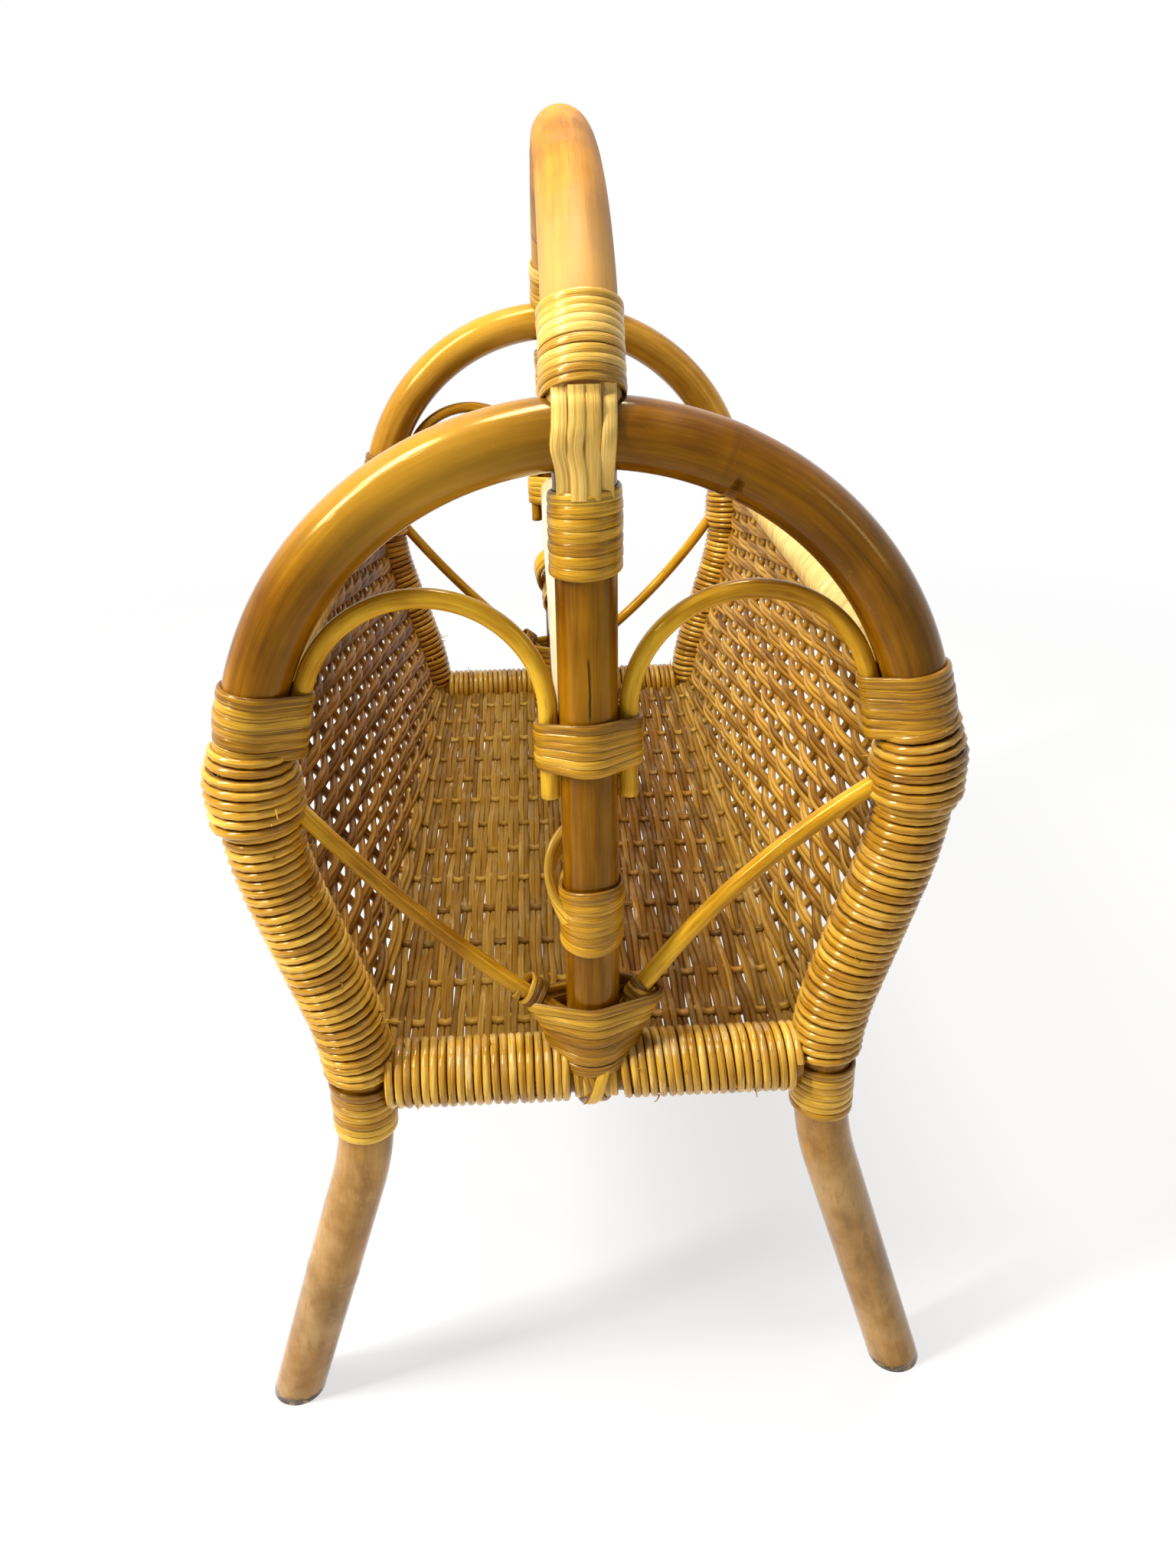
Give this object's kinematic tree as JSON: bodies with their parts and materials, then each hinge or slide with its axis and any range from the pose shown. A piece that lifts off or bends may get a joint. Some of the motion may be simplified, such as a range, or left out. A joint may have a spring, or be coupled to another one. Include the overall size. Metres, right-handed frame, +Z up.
{
  "type": "magazine basket",
  "caption": "Bent cane magazine basket with arched end frames on splayed legs, a woven trough, a central divider and a tall carrying handle.",
  "frame": {"origin": "on the floor, under the middle of the basket", "axes": "+Z up, +Y along the basket from the front end frame to the rear one, +X to the right across it"},
  "size_m": [0.3372, 0.503, 0.5895],
  "materials": {
    "pole": "glossy honey-amber varnish on bent cane pole",
    "rod": "glossy varnish on thin cane rod",
    "flat_cane": "satin varnish on flat golden cane",
    "round_reed": "satin varnish on round golden reed",
    "fine_cane": "matte pale straw-coloured cane",
    "weave": "dull golden to red-brown woven reed"
  },
  "bodies": {
    "root": {"front_hoop": "pole", "front_bottom_rail": "pole", "front_post": "pole", "front_rail_strips": "flat_cane", "front_centre_binding": "flat_cane", "front_lower_binding": "flat_cane", "front_post_wrap": "flat_cane", "front_foot_binding": "flat_cane", "front_handle_wrap": "flat_cane", "front_outer_arch_strips": "flat_cane", "front_inner_arch_strips": "flat_cane", "front_left_small_arch": "rod", "front_left_slant_rod": "rod", "front_left_side_binding": "flat_cane", "front_left_corner_binding": "flat_cane", "front_left_side_winding": "round_reed", "front_left_rail_winding": "round_reed", "front_right_small_arch": "rod", "front_right_slant_rod": "rod", "front_right_side_binding": "flat_cane", "front_right_corner_binding": "flat_cane", "front_right_side_winding": "round_reed", "front_right_rail_winding": "round_reed", "rear_hoop": "pole", "rear_bottom_rail": "pole", "rear_post": "pole", "rear_rail_strips": "flat_cane", "rear_centre_binding": "flat_cane", "rear_lower_binding": "flat_cane", "rear_post_wrap": "flat_cane", "rear_foot_binding": "flat_cane", "rear_handle_wrap": "flat_cane", "rear_outer_arch_strips": "flat_cane", "rear_inner_arch_strips": "flat_cane", "rear_left_small_arch": "rod", "rear_left_slant_rod": "rod", "rear_left_side_binding": "flat_cane", "rear_left_corner_binding": "flat_cane", "rear_left_side_winding": "round_reed", "rear_left_rail_winding": "round_reed", "rear_right_small_arch": "rod", "rear_right_slant_rod": "rod", "rear_right_side_binding": "flat_cane", "rear_right_corner_binding": "flat_cane", "rear_right_side_winding": "round_reed", "rear_right_rail_winding": "round_reed", "handle": "pole", "upper_divider_rail": "pole", "lower_divider_rail": "pole", "front_divider_collar": "flat_cane", "rear_divider_collar": "flat_cane", "left_rim_rail": "pole", "left_rim_wrap": "fine_cane", "right_rim_rail": "pole", "right_rim_wrap": "fine_cane", "woven_trough": "weave"}
  },
  "joints": []
}
